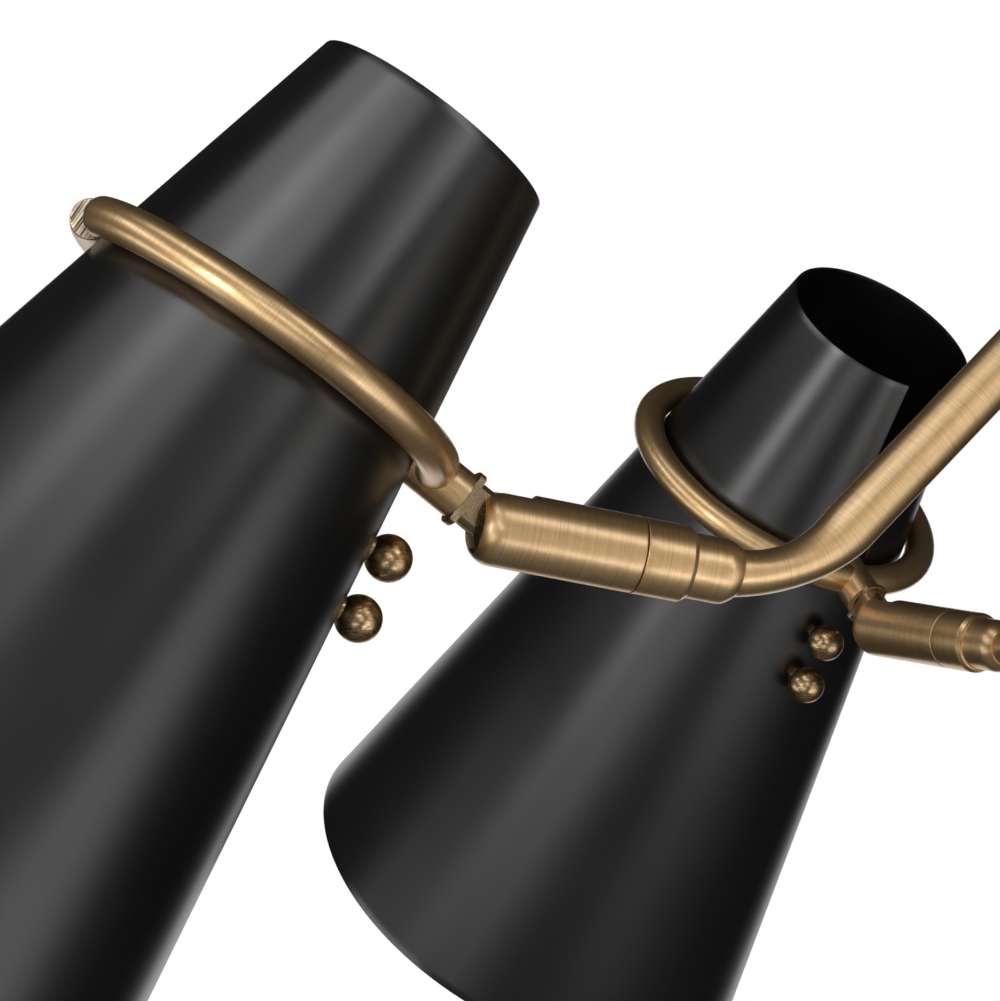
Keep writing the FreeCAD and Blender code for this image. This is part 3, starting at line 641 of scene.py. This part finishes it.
def makeBarrel(number):
    size = barrelSize
    radius, half = size["diameter"] / 2, size["slotWidth"] / 2
    where = barrelFrame(number)
    outline = roundedOutline([
        (-size["seam"], 0, 0),
        (-size["seam"], radius, size["seamRound"]),
        (size["front"], radius, size["nose"]),
        (size["front"], 0, 0),
    ], steps=14)
    piece = turned(f"barrel{number}", outline, where, brass, rounds=128, longest=2.0)
    low, high = (-size["slotReach"], -half, -size["floor"]), (size["front"] + 2, half, radius + 2)
    cutAway(piece, [blockPiece("slot", low, high, where)])
    breakEdges(piece, size["edge"], edgeWearAndHighlightBrass)

    def inSlot(middle, normal):
        inside = (np.abs(middle[:, 1]) < half + flush) & (middle[:, 0] > low[0] - flush)
        return inside & (middle[:, 2] > low[2] - flush) & (np.abs(normal).max(1) > squarely)

    # the nose's end faces, which get painted shade
    def inNoseShade(middle, normal):
        outside = np.hypot(middle[:, 1], middle[:, 2]) > half + 0.3
        return outside & (middle[:, 0] > size["front"] - size["noseShadeReach"]) & (normal[:, 0] > 0.3)

    finishFaces(piece, milledBrass, where, inSlot)
    finishFaces(piece, paintedNoseShadeBrass, where, inNoseShade)
    return piece


# Tang: a turned stud with milled flats, rounded about the pivot, with a flange

tangSize = {
    "diameter": 11.7, "flats": 8.18, "flange": 15.2, "flangeStart": 10.9, "flangeLength": 1.8, "slit": 2.4,
    "bore": 8.4, "edge": 0.22,
}


def makeTang(number):
    size = tangSize
    radius, flange, half, slit = (size[name] / 2 for name in ("diameter", "flange", "flats", "slit"))
    where = headFrame(number)
    start = size["flangeStart"]
    end = start + size["flangeLength"]
    outline = roundedOutline([
        (-radius, 0, 0),
        (-radius, radius, radius * 0.98),
        (start, radius, 0.15),
        (start, flange, 0.25),
        (end, flange, 0.25),
        (end, size["bore"] / 2, 0),
        (end, 0, 0),
    ])
    piece = turned(f"tang{number}", outline, where, turnedBrass, rounds=96, longest=2.0)
    low, wide = -radius - 2, flange + 2       # the cutters reach 2 mm or more beyond the stud
    cutAway(piece, [
        blockPiece("flatA", (low, half, -wide), (end + 2, wide, wide), where),
        blockPiece("flatB", (low, -wide, -wide), (end + 2, -half, wide), where),
        blockPiece("slit", (low, -slit, low), (start - 1, slit, radius + 4), where),
    ])
    breakEdges(piece, size["edge"], edgeWearAndHighlightBrass)
    finishFaces(piece, milledBrass, where, lambda middle, normal: (
        (np.abs(normal[:, 1]) > squarely) & (np.abs(np.abs(middle[:, 1]) - half) < flush)))
    return piece


# Shade: a cone open at both ends, slotted from the top rim to the neck

coneSize = {
    "radius": 45.1, "angle": 10.9, "above": 65.9, "below": 191.0, "wall": 1.0, "offset": 74.0,
    "slotHalf": 6.6, "rimRound": 0.45,
}


def coneRadius(height):
    return coneSize["radius"] - height * math.tan(math.radians(coneSize["angle"]))


def makeShade(number):
    # radius(z) * (cos a, sin a), where a stays clear of the slot: half width w(z) at the neck's side
    size = coneSize
    half = size["slotHalf"]
    below = np.linspace(-size["below"], -half, 60)
    slotFoot = -half * np.cos(np.linspace(0, math.pi / 2, 14))[1:]
    above = np.linspace(0, size["above"], 26)[1:]
    height = np.concatenate([below, slotFoot, above])
    rounded = np.sqrt(np.clip(half ** 2 - np.minimum(height, 0) ** 2, 0, None))
    radius = coneRadius(height)
    clear = np.arcsin(np.where(height < 0, rounded, half) / radius)
    share = np.linspace(0, 1, 193)[:, None]
    angle = math.pi + clear[None] + share * (2 * math.pi - 2 * clear[None])
    across, side = radius * np.cos(angle), radius * np.sin(angle)
    upright = np.broadcast_to(height, angle.shape)
    points = np.stack([size["offset"] + across, side, upright], -1)
    brush = np.stack([across, side, upright], -1)
    where = headFrame(number)
    piece = buildPiece(f"shadeCone{number}", points, brush, height, where, paint, wrap=False)
    face = piece.data.polygons[0]
    if np.dot(face.normal, np.array(face.center) - place([size["offset"], 0, 0], where)) < 0:
        piece.data.flip_normals()
    wall = piece.modifiers.new("wall", "SOLIDIFY")
    wall.thickness = size["wall"] * mm
    wall.offset = -1
    wall.use_even_offset = True
    addBevel(piece, size["rimRound"], segments=3, angle=50)
    applyModifiers(piece)
    smooth(piece, sharpest=40)
    return piece


# Split ring with its neck

ringSize = {
    "rod": 10.0, "droop": 2.0, "lift": 0.6, "gap": 0.06,
    "openAngle": 9.0,       # each end stands this many degrees from the gap's middle, opposite the neck
    "neck": 12.6, "neckStart": 12.7, "neckBore": 8.8, "neckRound": 0.2,
    "neckInside": 2.0,      # the neck ends this far inside the cone's line
}


def ringRadius():
    # its lowest point, opposite the neck, just clears the shade
    droop, cone = math.radians(ringSize["droop"]), math.radians(coneSize["angle"])
    lean = 2 * math.cos(droop) - 1 - 2 * math.sin(droop) * math.tan(cone)
    return (coneRadius(ringSize["lift"]) + (ringSize["rod"] / 2 + ringSize["gap"]) / math.cos(cone)) / lean


def makeRing(number):
    # the rod carried round most of a circle: centre + R (cos a, sin a) in the ring's own plane
    size = ringSize
    head = headFrame(number)
    droop = math.radians(size["droop"])
    radius, rodRadius = ringRadius(), size["rod"] / 2
    xAxis, yAxis, zAxis = head["axes"]
    tiltedX = math.cos(droop) * xAxis - math.sin(droop) * zAxis
    across = coneSize["offset"] - radius + radius * math.cos(droop)
    middle = place([across, 0, size["lift"] - radius * math.sin(droop)], head)
    plane = makeFrame(middle, tiltedX, np.cross(tiltedX, yAxis))       # the path lies in its XZ plane
    sweep = np.linspace(math.radians(size["openAngle"]), math.radians(360 - size["openAngle"]), 150)
    path = radius * np.stack([np.cos(sweep), 0 * sweep, -np.sin(sweep)], -1)
    way = np.stack([-np.sin(sweep), 0 * sweep, -np.cos(sweep)], -1)
    rod = tube(f"ringRod{number}", path, way, rodRadius, rodRadius, plane, brass, rounds=48)
    for end, outwards in ((path[0], -way[0]), (path[-1], way[-1])):
        finishFaces(rod, sawnBrass, plane, lambda middle, normal: (
            (np.linalg.norm(middle - end, axis=1) < rodRadius) & (normal @ outwards > 0.9)))
    start, neck, bore = size["neckStart"], size["neck"] / 2, size["neckBore"] / 2
    end = coneSize["offset"] - coneRadius(0) + size["neckInside"]
    outline = [(start, bore), (start, neck - size["neckRound"]), (start + size["neckRound"], neck),
               (end, neck), (end, bore)]
    neckTube = turned(f"neck{number}", outline, head, brass, rounds=72, longest=1.0)
    return joined(f"shadeRing{number}", [rod, neckTube])


# Ball screws

ballSize = {
    "diameter": 11.9, "drops": [24.1, 40.1], "standOff": 0.55, "neck": 6.4, "shank": 4.0, "inside": 4.9,
    "tip": 0.3,
}
clearance = 0.02        # a screw's neck stands this far, in millimetres, off the sheet it holds


def makeBalls(number):
    size = ballSize
    radius, neck, shank = size["diameter"] / 2, size["neck"] / 2, size["shank"] / 2
    inside, ballFoot = -size["inside"], size["standOff"] + 1
    cone = math.radians(coneSize["angle"])
    head = headFrame(number)
    outwards = np.array([-math.cos(cone), 0, math.sin(cone)])
    parts = []
    for drop in size["drops"]:
        foot = np.array([coneSize["offset"] - coneRadius(-drop), 0, -drop])
        centre = foot + outwards * (radius + size["standOff"])
        parts.append(ball(f"ball{number}", centre, radius, outwards, head, ballBrass))
        own = makeFrame(place(foot, head), outwards @ head["axes"], head["axes"][1])
        outline = [(inside, 0), (inside, shank - size["tip"]), (inside + size["tip"], shank),
                   (clearance, shank), (clearance, neck), (ballFoot, neck), (ballFoot, 0)]
        parts.append(turned(f"ballNeck{number}", outline, own, ballBrass, rounds=32))
    return joined(f"ballScrews{number}", parts)


# Lampholder: a moulded cap, a beaded joint and a skirt round the screw shell

holderSize = {
    "top": 9.5, "length": 62.0, "nipple": 5.0, "nippleLong": 5.5, "cap": 16.5, "capRound": 7.0,
    "skirt": 19.0, "bore": 13.3, "depth": 27.0, "wires": 2.5,
    "bead": 0.4,            # the joint is this share of the length down
    "groove": 0.8,
}


def makeHolder(number):
    size = holderSize
    head = headFrame(number)
    where = makeFrame(place([coneSize["offset"], 0, 0], head), head["axes"][0], head["axes"][1])
    top, low = size["top"], size["top"] - size["length"]
    nippleTop, bead = top + size["nippleLong"], top - size["bead"] * size["length"]
    boreEnd, skirt, grooved = low + size["depth"], size["skirt"], size["skirt"] - size["groove"]
    outline = roundedOutline([
        (nippleTop, size["wires"], 0), (nippleTop, size["nipple"], 0.3), (top, size["nipple"], 0),
        (top, size["cap"], size["capRound"]), (bead, size["cap"], 0.4), (bead - 2.5, skirt, 0.6),
        (bead - 8, skirt, 0.5), (bead - 9, grooved, 0.5), (bead - 12, grooved, 0.5), (bead - 13, skirt, 0.5),
        (low, skirt, 1.5), (low, size["bore"], 0.6), (boreEnd, size["bore"], 0),
        (boreEnd, size["wires"], 0), (nippleTop, size["wires"], 0),
    ])
    return turned(f"lampholder{number}Body", outline, where, phenolic, rounds=72, axis="z")


for number in lampNumbers:
    fit(makeArm(number), "root", f"arm_{number}")
    fit(makeBase(number), "root", f"swivel_base_{number}")
    fit(makeBarrel(number), f"swivel_{number}", f"barrel_{number}")
    fit(makeTang(number), f"head_{number}", f"tang_{number}")
    fit(makeRing(number), f"head_{number}", f"shade_ring_{number}")
    fit(makeShade(number), f"head_{number}", f"shade_{number}")
    fit(makeBalls(number), f"head_{number}", f"ball_screws_{number}")
    fit(makeHolder(number), f"head_{number}", f"lampholder_{number}")
print("lamps made")


# Middle: hub, cap, ferrules, coupling, downrod, canopy and its screws

hubFrame = uprightFrame(hubSize["height"])


def seatOnHub(radius):
    # how high above the hub's centre a round piece of this radius meets its surface
    return math.sqrt(hubSize["radius"] ** 2 - radius ** 2)


def makeHub():
    # an arc of the ball, outside and then back inside, turned about the upright axis
    outer, inner = hubSize["radius"], hubSize["radius"] - hubSize["wall"]
    latitude = np.linspace(math.radians(hubSize["lowest"]), math.radians(hubSize["highest"]), 90)
    shell = outer * np.stack([np.sin(latitude), np.cos(latitude)], -1)
    lining = inner * np.stack([np.sin(latitude), np.cos(latitude)], -1)[::-1]
    outline = np.concatenate([shell, lining, shell[:1]])
    return turned("hubBall", outline, hubFrame, brass, rounds=128, axis="z")


capSize = {"flange": 15.0, "below": 1.5, "neck": 3.0, "neckLong": 4.0, "finial": 7.0, "sunk": 1.0}


def makeCap():
    # a flange against the ball, a thin neck and a small ball finial
    size = capSize
    seat, neck, finial = -seatOnHub(size["flange"]), size["neck"], size["finial"]
    under = -hubSize["radius"] - size["below"]
    ballMiddle = under - size["neckLong"] - finial + size["sunk"]
    arc = np.linspace(math.acos(neck / finial), -math.pi / 2, 24)
    finialOutline = np.stack([ballMiddle + finial * np.sin(arc), finial * np.cos(arc)], -1)
    flangeOutline = roundedOutline([
        (seat - 1.0, 0, 0), (seat - 0.05, size["flange"], 0.2), (under, size["flange"], 0.8),
        (under, neck, 0.8), (finialOutline[0, 0], neck, 0),
    ])
    outline = np.concatenate([flangeOutline, finialOutline])
    return turned("hubCapTurned", outline, hubFrame, brass, rounds=96, axis="z")


ferruleSize = {"radius": 9.2, "length": 9.0, "bore": 7.12, "waist": 7.6, "lip": 8.8, "lift": 0.4}


def makeFerrules():
    size = ferruleSize
    slope = math.radians(armSize["slope"])
    start, end = seatOnHub(size["radius"]) + size["lift"], hubSize["radius"] + size["length"]
    outline = roundedOutline([
        (start, size["bore"], 0), (start, size["radius"], 0.3), (end - 5.2, size["waist"], 0.6),
        (end - 3.2, size["waist"], 0.2), (end - 3.0, size["lip"], 0.6),
        (end, size["lip"], 0.9), (end, size["bore"], 0), (start, size["bore"], 0),
    ])
    ferrules = []
    for number in lampNumbers:
        where = lampFrame(number)
        outwards = where["axes"][0] * math.cos(slope) + np.array([0, 0, -math.sin(slope)])
        own = makeFrame(hubFrame["origin"], outwards, where["axes"][1])
        ferrules.append(turned(f"ferrule{number}", outline, own, brass, rounds=72))
    return joined("armFerrules", ferrules)


couplingSize = {"radius": 10.5, "height": 20.0, "bore": 6.4, "step": 2.0, "foot": 4.0}


def makeCoupling():
    size = couplingSize
    radius, body, foot = size["radius"], size["radius"] - size["step"], hubSize["radius"] + size["foot"]
    seat, top = seatOnHub(radius), hubSize["radius"] + size["height"]
    outline = roundedOutline([
        (seat, size["bore"], 0), (seat, radius, 0.3), (foot, radius, 0.7), (foot + 2, body, 0.7),
        (top - 2, body, 0.5), (top, body - 1, 0.4), (top, size["bore"], 0), (seat, size["bore"], 0),
    ])
    return turned("couplingTurned", outline, hubFrame, brass, rounds=96, axis="z")


rodSize = {"radius": 6.35, "bore": 4.8}


def makeDownrod():
    low, high = (corner[2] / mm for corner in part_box("downrod"))
    radius, bore = rodSize["radius"], rodSize["bore"]
    outline = [(low, bore), (low, radius), (high, radius), (high, bore), (low, bore)]
    return turned("downrodTube", outline, uprightFrame(0), brass, rounds=72, axis="z", longest=8.0)


canopySize = {"radius": 65.0, "depth": 25.0, "wall": 1.2, "rounding": 14.0, "rimRound": 0.4, "play": 0.1}


def makeCanopy():
    # a spun cup, outside and then back inside
    size = canopySize
    outer, wall, face = size["radius"], size["wall"], -size["depth"]
    hole, rounding, rim = rodSize["radius"] + size["play"], size["rounding"], size["rimRound"]
    outline = roundedOutline([
        (face, hole, 0), (face, outer, rounding), (0, outer, rim), (0, outer - wall, rim),
        (face + wall, outer - wall, rounding - wall), (face + wall, hole, 0), (face, hole, 0),
    ], steps=12)
    return turned("canopySpun", outline, uprightFrame(0), brass, rounds=160, axis="z", longest=4.0)


canopyScrewSize = {
    "spacing": 46.0, "ball": 5.95, "standOff": 0.55, "neck": 3.2, "shank": 2.0, "neckLong": 1.6,
}


def makeCanopyScrews():
    size = canopyScrewSize
    depth = canopySize["depth"]
    neck, shank, foot = size["neck"], size["shank"], -size["neckLong"]
    outline = [(foot, 0), (foot, neck), (-clearance, neck), (-clearance, shank), (depth, shank), (depth, 0)]
    parts = []
    for side in (-1, 1):
        own = makeFrame([side * size["spacing"] / 2 * mm, 0, -depth * mm], [1, 0, 0], [0, 1, 0])
        middle = [0, 0, -size["ball"] - size["standOff"]]
        parts.append(ball("canopyBall", middle, size["ball"], (0, 0, -1), own, ballBrass))
        parts.append(turned("canopyShank", outline, own, ballBrass, rounds=32, axis="z"))
    return joined("canopyScrewHeads", parts)


fit(makeHub(), "root", "hub")
fit(makeCap(), "root", "hub_cap")
fit(makeFerrules(), "root", "arm_ferrules")
fit(makeCoupling(), "root", "downrod_coupling")
fit(makeDownrod(), "root", "downrod")
fit(makeCanopy(), "root", "canopy")
fit(makeCanopyScrews(), "root", "canopy_screws")
print("centre made")

# CAD nodes that stay, in their finish
finishOf = {"hinge_pin": steel, "stop_screws": steel, "bracket": paint, "crossbar": paint}
for name, node in frame["nodes"].items():
    for stem, material in finishOf.items():
        if name.startswith(stem):
            node.data.materials.clear()
            node.data.materials.append(material)
print("finishes set")


# Studio: a wide pale floor, a white screen behind the lamps, soft lights and the camera; metres

cameraView = {
    "east": -0.6369, "north": -1.0274, "belowPivots": 0.096, "yaw": 16.97, "pitch": 5.47, "lens": 159.55,
}
studio = {
    "target": (-0.32, 0.05),     # the lights point here, at the pivots' height
    "roomGlow": 0.025,           # what the object gets from all round, where 1 is white
}
floorLook = {"level": -2.9, "half": 14.0, "tone": (0.3, 0.3, 0.3), "glow": 0.97}
screenLook = {"away": 2.4, "wide": 1.9, "top": 0.7, "foot": 1.5, "glow": 1.0}


def viewAxes():
    # level axes of the camera's view: to the right, and away from the camera
    yaw = math.radians(cameraView["yaw"])
    return np.array([math.cos(yaw), -math.sin(yaw), 0]), np.array([math.sin(yaw), math.cos(yaw), 0])


def flatSheet(name, corners, material):
    mesh = bpy.data.meshes.new(name)
    mesh.from_pydata(corners, [], [(0, 1, 2, 3)])
    mesh.materials.append(material)
    sheet = bpy.data.objects.new(name, mesh)
    bpy.context.scene.collection.objects.link(sheet)
    return sheet


def seenDirectly(nodes, links):
    # 1 for what the camera sees, also through glass
    rays = addNode(nodes, "LightPath").outputs
    return mathNode(nodes, links, "MAXIMUM", rays["Is Camera Ray"], rays["Is Transmission Ray"])


def makeFloor():
    # floor paint that takes shadows, brought up to white by a glow that only the camera sees
    half, level = floorLook["half"], floorLook["level"]
    material, nodes, links = newMaterial("paleFloor")
    pale = addNode(nodes, "BsdfDiffuse", Color=(*floorLook["tone"], 1))
    glow = addNode(nodes, "Emission")
    seen = seenDirectly(nodes, links)
    links.new(mathNode(nodes, links, "MULTIPLY", seen, floorLook["glow"]), glow.inputs["Strength"])
    both = addNode(nodes, "AddShader")
    links.new(pale.outputs[0], both.inputs[0])
    links.new(glow.outputs[0], both.inputs[1])
    finishWith(nodes, links, both)
    corners = [(-half, -half, level), (half, -half, level), (half, half, level), (-half, half, level)]
    flatSheet("floor", corners, material)


def makeScreen(target):
    # white, straight behind the lamps, and seen only in reflections: metal shows it at its edges
    size = screenLook
    right, ahead = viewAxes()
    middle = target + ahead * size["away"]
    leftSide, rightSide = middle - right * size["wide"] / 2, middle + right * size["wide"] / 2
    top, foot = np.array([0, 0, size["top"]]), np.array([0, 0, -size["foot"]])
    corners = np.array([leftSide + foot, rightSide + foot, rightSide + top, leftSide + top])
    material, nodes, links = newMaterial("whiteScreen")
    finishWith(nodes, links, addNode(nodes, "Emission", Strength=size["glow"]))
    screen = flatSheet("screen", corners, material)
    screen.visible_camera = False
    screen.visible_diffuse = False
    screen.visible_shadow = False


# soft boxes on a sphere about the lamps: azimuth and elevation from the camera's side, sizes and roll,
# all in degrees; glow is a box's brightness, where 1 is white
boxDistance = 2.4
softBoxes = {
    "frontStrip": {"azimuth": 8, "elevation": 4, "wide": 11, "tall": 38, "roll": 45, "glow": 3.00},
    "topStrip": {"azimuth": -38, "elevation": 59, "wide": 46, "tall": 8, "roll": -32, "glow": 2.49},
    "highFront": {"azimuth": -2, "elevation": 44, "wide": 10, "tall": 40, "roll": 45, "glow": 2.55},
    "rightStrip": {"azimuth": 49, "elevation": 19, "wide": 12, "tall": 42, "roll": 18, "glow": 3.40},
    "lowRight": {"azimuth": 38, "elevation": -42, "wide": 9, "tall": 15, "roll": -44, "glow": 4.60},
    "farRight": {"azimuth": 60, "elevation": -28, "wide": 40, "tall": 46, "roll": 22, "glow": 1.20},
    "farLeft": {"azimuth": -85, "elevation": -16, "wide": 45, "tall": 8, "roll": -45, "glow": 3.63},
    "highLeft": {"azimuth": -73, "elevation": 27, "wide": 46, "tall": 8, "roll": -34, "glow": 3.92},
    "lowFront": {"azimuth": -22, "elevation": -28, "wide": 39, "tall": 20, "roll": -8, "glow": 1.50},
    "leftKey": {"azimuth": -39, "elevation": -3, "wide": 28, "tall": 14, "roll": 45, "glow": 7.80},
}


def makeLight(name, box, target):
    # its way from the target, then a right and an up turned about that way by the roll
    azimuth, elevation, roll = (math.radians(box[angle]) for angle in ("azimuth", "elevation", "roll"))
    right, ahead = viewAxes()
    way = (right * math.sin(azimuth) - ahead * math.cos(azimuth)) * math.cos(elevation)
    way = way + np.array([0, 0, math.sin(elevation)])
    level = unit(np.cross([0, 0, 1], way))
    across = level * math.cos(roll) + np.cross(way, level) * math.sin(roll)
    lamp = bpy.data.lights.new(name, "AREA")
    lamp.shape = "RECTANGLE"
    lamp.size = 2 * boxDistance * math.tan(math.radians(box["wide"] / 2))
    lamp.size_y = 2 * boxDistance * math.tan(math.radians(box["tall"] / 2))
    lamp.energy = box["glow"] * math.pi * lamp.size * lamp.size_y
    light = bpy.data.objects.new(name, lamp)
    bpy.context.scene.collection.objects.link(light)
    light.location = target + way * boxDistance
    light.rotation_euler = Matrix(np.array([across, np.cross(way, across), way]).T.tolist()).to_euler()
    light.visible_camera = False


def makeCamera(pivots):
    view = cameraView
    camera = bpy.data.objects.new("camera", bpy.data.cameras.new("camera"))
    bpy.context.scene.collection.objects.link(camera)
    camera.data.sensor_fit = "HORIZONTAL"
    camera.data.sensor_width = 36.0
    camera.data.lens = view["lens"]
    camera.data.clip_start = 0.01
    camera.data.clip_end = 100
    camera.location = (view["east"], view["north"], pivots - view["belowPivots"])
    camera.rotation_euler = (math.radians(90 + view["pitch"]), 0, -math.radians(view["yaw"]))
    bpy.context.scene.camera = camera


def makeAir():
    # white where it is seen, and nearly dark for the object
    world = bpy.data.worlds.new("studioAir")
    bpy.context.scene.world = world
    world.use_nodes = True
    nodes, links = world.node_tree.nodes, world.node_tree.links
    nodes.clear()
    dim = addNode(nodes, "Background", Color=(1, 1, 1, 1), Strength=studio["roomGlow"])
    white = addNode(nodes, "Background", Color=(1, 1, 1, 1), Strength=1.0)
    mix = addNode(nodes, "MixShader")
    links.new(seenDirectly(nodes, links), mix.inputs["Fac"])
    links.new(dim.outputs[0], mix.inputs[1])
    links.new(white.outputs[0], mix.inputs[2])
    output = addNode(nodes, "OutputWorld")
    links.new(mix.outputs[0], output.inputs["Surface"])


pivots = joints["lamp_tilt_1"]["pos_m"][2]
target = np.array([*studio["target"], pivots])
makeFloor()
makeCamera(pivots)
makeAir()
for name, box in softBoxes.items():
    makeLight(name, box, target)
makeScreen(target)
bpy.context.scene.view_settings.view_transform = "Standard"
print("studio made")
